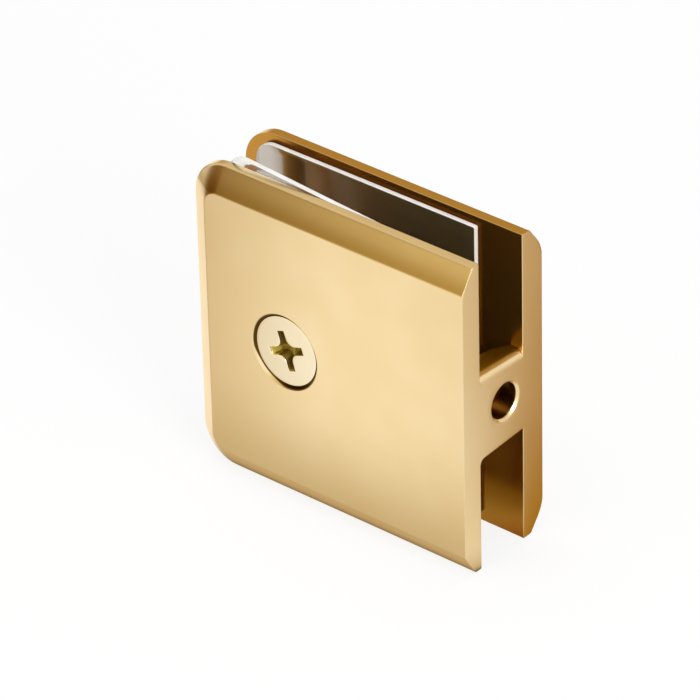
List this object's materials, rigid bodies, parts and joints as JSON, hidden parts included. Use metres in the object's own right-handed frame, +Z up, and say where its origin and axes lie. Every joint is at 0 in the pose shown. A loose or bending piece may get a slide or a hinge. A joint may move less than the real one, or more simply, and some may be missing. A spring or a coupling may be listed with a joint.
{
  "type": "glass clamp",
  "caption": "Square U-shaped glass clamp with bevelled plates joined by a lug, clamped on the panel by a countersunk screw through two clear gaskets.",
  "frame": {"origin": "on the flat wall face, at the mouth of the wall screw's hole, which is level with the middle of the plates' height", "axes": "+X points out of the wall face into the wall, +Y from the front plate to the rear plate, +Z up"},
  "size_m": [0.0508, 0.0177, 0.052],
  "materials": {
    "satin_gold": "satin",
    "polished_gold": "polished",
    "clear_vinyl": "clear gloss"
  },
  "bodies": {
    "root": {"clamp_body": "satin_gold", "clamp_screw": "polished_gold", "front_gasket": "clear_vinyl", "rear_gasket": "clear_vinyl"}
  },
  "joints": []
}
